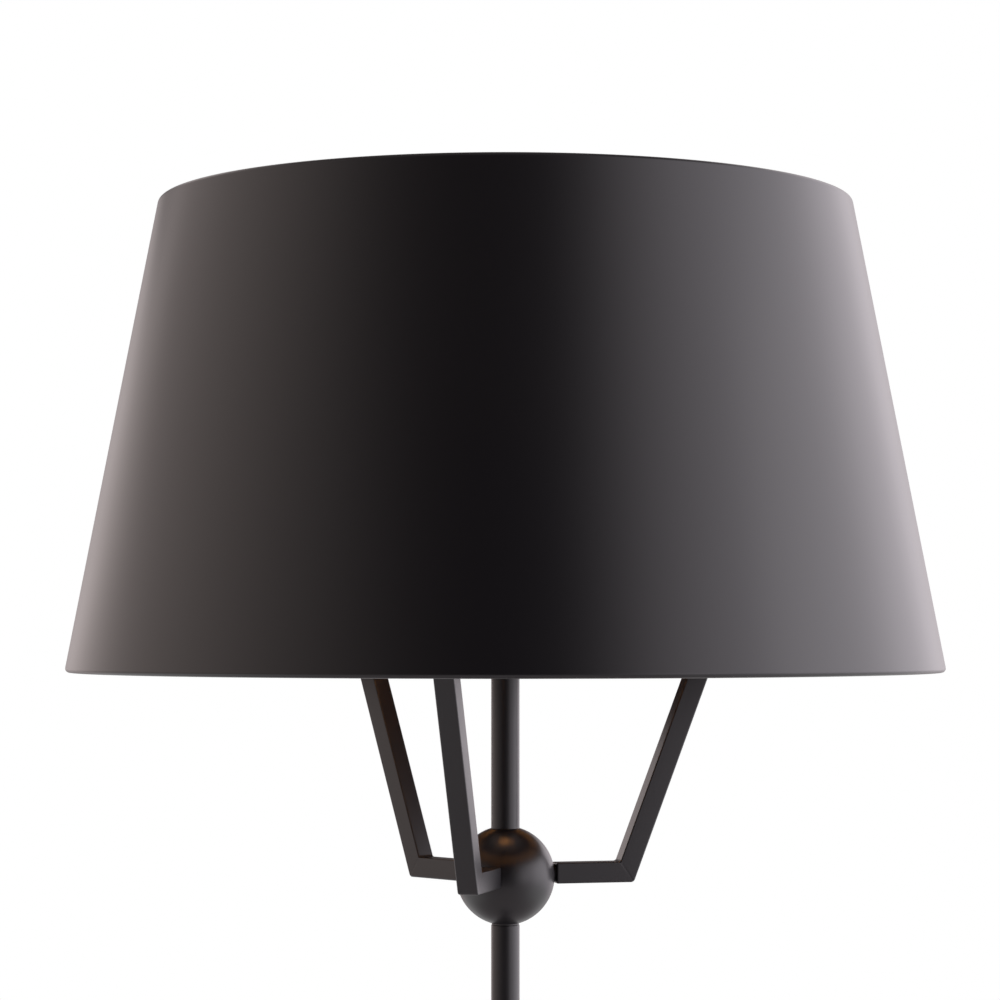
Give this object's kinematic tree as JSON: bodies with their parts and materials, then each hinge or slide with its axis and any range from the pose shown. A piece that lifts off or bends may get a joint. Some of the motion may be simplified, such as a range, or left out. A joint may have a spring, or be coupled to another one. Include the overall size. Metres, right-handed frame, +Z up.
{
  "type": "floor lamp",
  "caption": "Floor lamp with a tapered open metal shade held by mitred square-bar arms that stand out from a ball on a slim round stem over a round weighted base.",
  "frame": {"origin": "on the floor, under the stem's axis", "axes": "+Z up along the stem, +X along the first arm, +Y towards the back, where the lead leaves the base"},
  "size_m": [0.5068, 0.5068, 1.6],
  "materials": {
    "painted_metal_shade": "satin dark bronze paint",
    "painted_metal_frame": "satin dark bronze paint",
    "painted_metal_base": "satin dark bronze paint",
    "black_washer": "matt black pressed fibre",
    "cast_weight": "rough casting",
    "felt": "pressed felt",
    "rubber": "matt",
    "plated_steel": "zinc plated",
    "holder_brass": "satin",
    "liner_card": "pressed insulating board",
    "core_plastic": "moulded phenolic",
    "key_plastic": "moulded phenolic",
    "spindle_brass": "drawn",
    "bulb_aluminium": "rolled thread",
    "bulb_black_glass": "opaque fused glass",
    "bulb_glass": "opal"
  },
  "bodies": {
    "lamp": {"shade": "painted_metal_shade", "arm_1": "painted_metal_frame", "arm_2": "painted_metal_frame", "arm_3": "painted_metal_frame", "hub_ball": "painted_metal_frame", "holder_tube": "painted_metal_frame", "stem_tube_lower": "painted_metal_frame", "stem_tube_middle": "painted_metal_frame", "stem_tube_top": "painted_metal_frame", "stem_collar": "painted_metal_frame", "shade_ring": "painted_metal_frame", "shade_nuts": "painted_metal_frame", "arm_spacers": "black_washer", "ball_neck": "black_washer", "base_cover": "painted_metal_base", "base_weight": "cast_weight", "floor_pad": "felt", "cord_bushing": "rubber", "base_washer": "plated_steel", "base_locknut": "plated_steel", "base_nipple": "plated_steel", "tube_inserts": "plated_steel", "stem_nipples": "plated_steel", "ball_nipple": "plated_steel", "arm_studs": "plated_steel", "shade_studs": "plated_steel", "shade_washers": "plated_steel", "holder_nipple": "plated_steel", "holder_nut": "plated_steel", "holder_cup": "holder_brass", "holder_shell": "holder_brass", "terminal_screws": "holder_brass", "middle_contact": "holder_brass", "thread_shell": "holder_brass", "bulb_tip": "holder_brass", "holder_liner": "liner_card", "holder_core": "core_plastic", "bulb_cap": "bulb_aluminium", "bulb_insulator": "bulb_black_glass", "bulb_glass": "bulb_glass"},
    "switch": {"switch_key": "key_plastic", "switch_spindle": "spindle_brass"}
  },
  "joints": [
    {"name": "switch_turn", "type": "hinge", "parent": "lamp", "child": "switch", "pos_m": [-0.02, 0, 1.393], "axis": [-1, 0, 0], "continuous": true}
  ]
}
